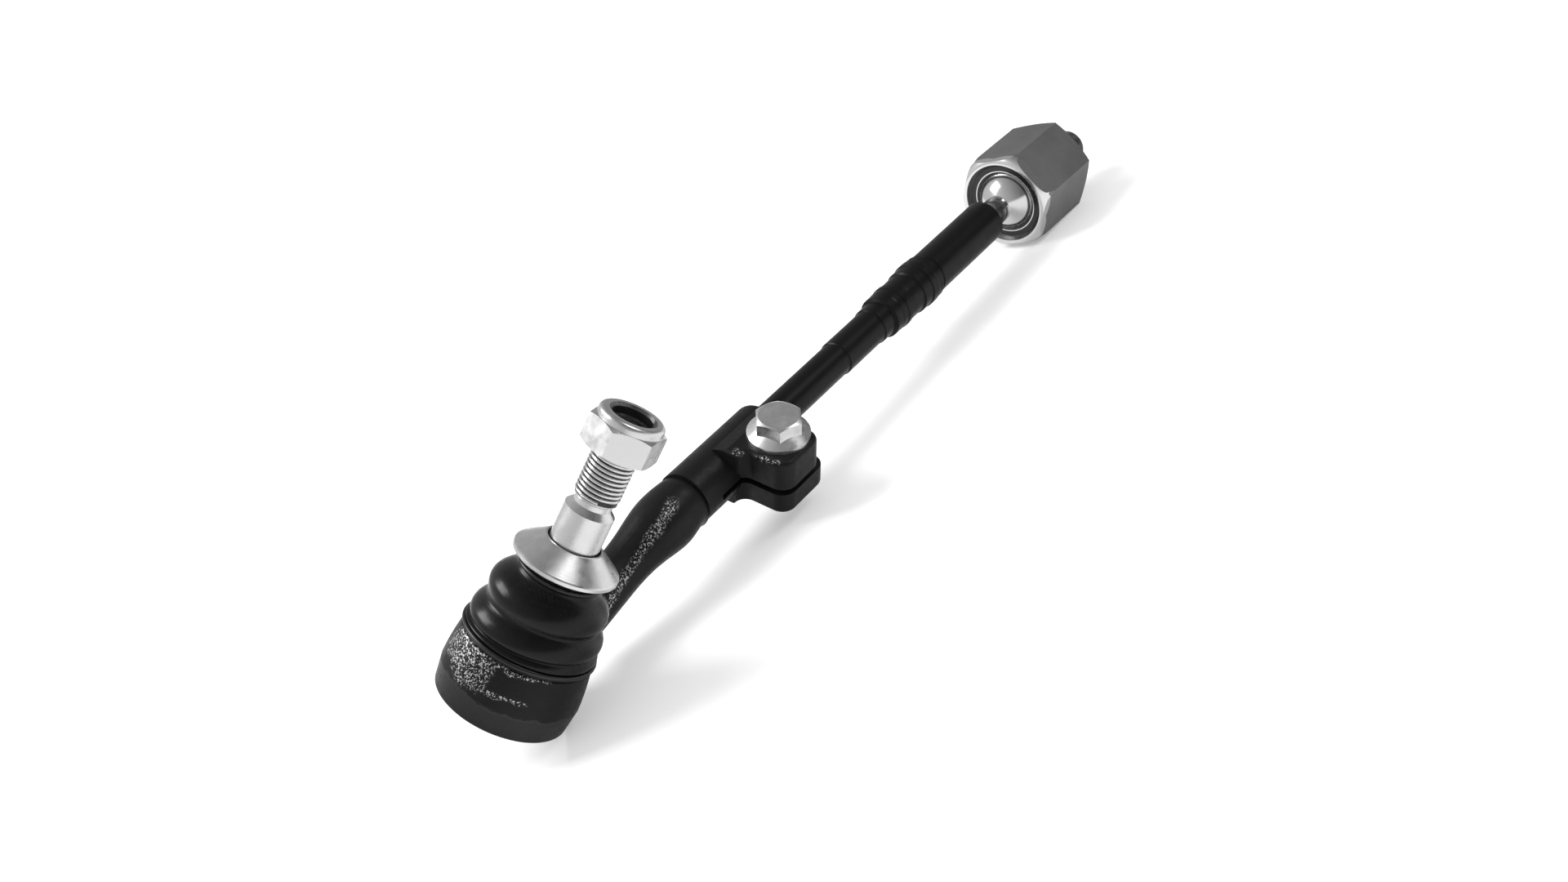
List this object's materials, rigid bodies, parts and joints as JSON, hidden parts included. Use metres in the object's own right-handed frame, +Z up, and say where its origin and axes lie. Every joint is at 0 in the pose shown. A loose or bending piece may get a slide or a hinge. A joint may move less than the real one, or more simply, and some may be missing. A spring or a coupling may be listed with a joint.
{
  "type": "steering tie rod",
  "caption": "Steering tie rod with a clamped forged end and a booted ball stud at one end and a hexagonal axial ball joint at the other; links a rack to a wheel carrier.",
  "frame": {"origin": "middle of the bounding box at the height of the ground", "axes": "+X from the ball stud's end to the rack's end, +Z up, as the part lies at rest"},
  "size_m": [0.3984, 0.0838, 0.095],
  "materials": {
    "black_steel": "satin black coating on forged and machined steel",
    "black_rod": "semi-gloss black coating",
    "bright_steel": "machined steel",
    "zinc_steel": "light zinc plating",
    "ring_steel": "dull steel",
    "boot_rubber": "smooth black rubber",
    "seat_plastic": "matte",
    "nylon": "matte"
  },
  "bodies": {
    "inner_end": {"inner_housing": "black_steel", "retaining_ring": "ring_steel"},
    "inner_socket": {"inner_seat": "seat_plastic"},
    "rod": {"tie_rod": "black_rod"},
    "outer_end": {"outer_housing": "black_steel", "clamp_bolt": "zinc_steel", "closing_cap": "bright_steel", "boot_base_ring": "ring_steel"},
    "outer_socket": {"outer_seat": "seat_plastic", "boot": "boot_rubber"},
    "boot_neck": {"boot_neck_ring": "ring_steel", "stud_dish": "zinc_steel"},
    "stud": {"ball_stud": "bright_steel", "stud_nut": "zinc_steel", "nylon_ring": "nylon"}
  },
  "joints": [
    {"name": "inner_swing_direction", "type": "hinge", "parent": "inner_end", "child": "inner_socket", "pos_m": [0.14644, 0.01375, 0.02056], "axis": [0.9974, 0.0257, -0.0678], "continuous": true},
    {"name": "inner_swing", "type": "hinge", "parent": "inner_socket", "child": "rod", "pos_m": [0.14644, 0.01375, 0.02056], "axis": [-0.0144, -0.846, -0.533], "range_deg": [-29.8, 24.2]},
    {"name": "length_adjust", "type": "slide", "parent": "rod", "child": "outer_end", "axis": [-0.9996, 0, 0.027], "range_m": [-0.006, 0.018]},
    {"name": "stud_swing_direction", "type": "hinge", "parent": "outer_end", "child": "outer_socket", "pos_m": [-0.17085, 0.01339, 0.02874], "axis": [0.5075, -0.5346, 0.6758], "range_deg": [-90, 90]},
    {"name": "stud_swing", "type": "hinge", "parent": "outer_socket", "child": "boot_neck", "pos_m": [-0.17085, 0.01339, 0.02874], "axis": [0.0166, 0.7902, 0.6127], "range_deg": [-22, 12], "deforming": ["boot"]},
    {"name": "stud_turn", "type": "hinge", "parent": "boot_neck", "child": "stud", "pos_m": [-0.17085, 0.01339, 0.02874], "axis": [0.5075, -0.5346, 0.6758], "continuous": true}
  ]
}
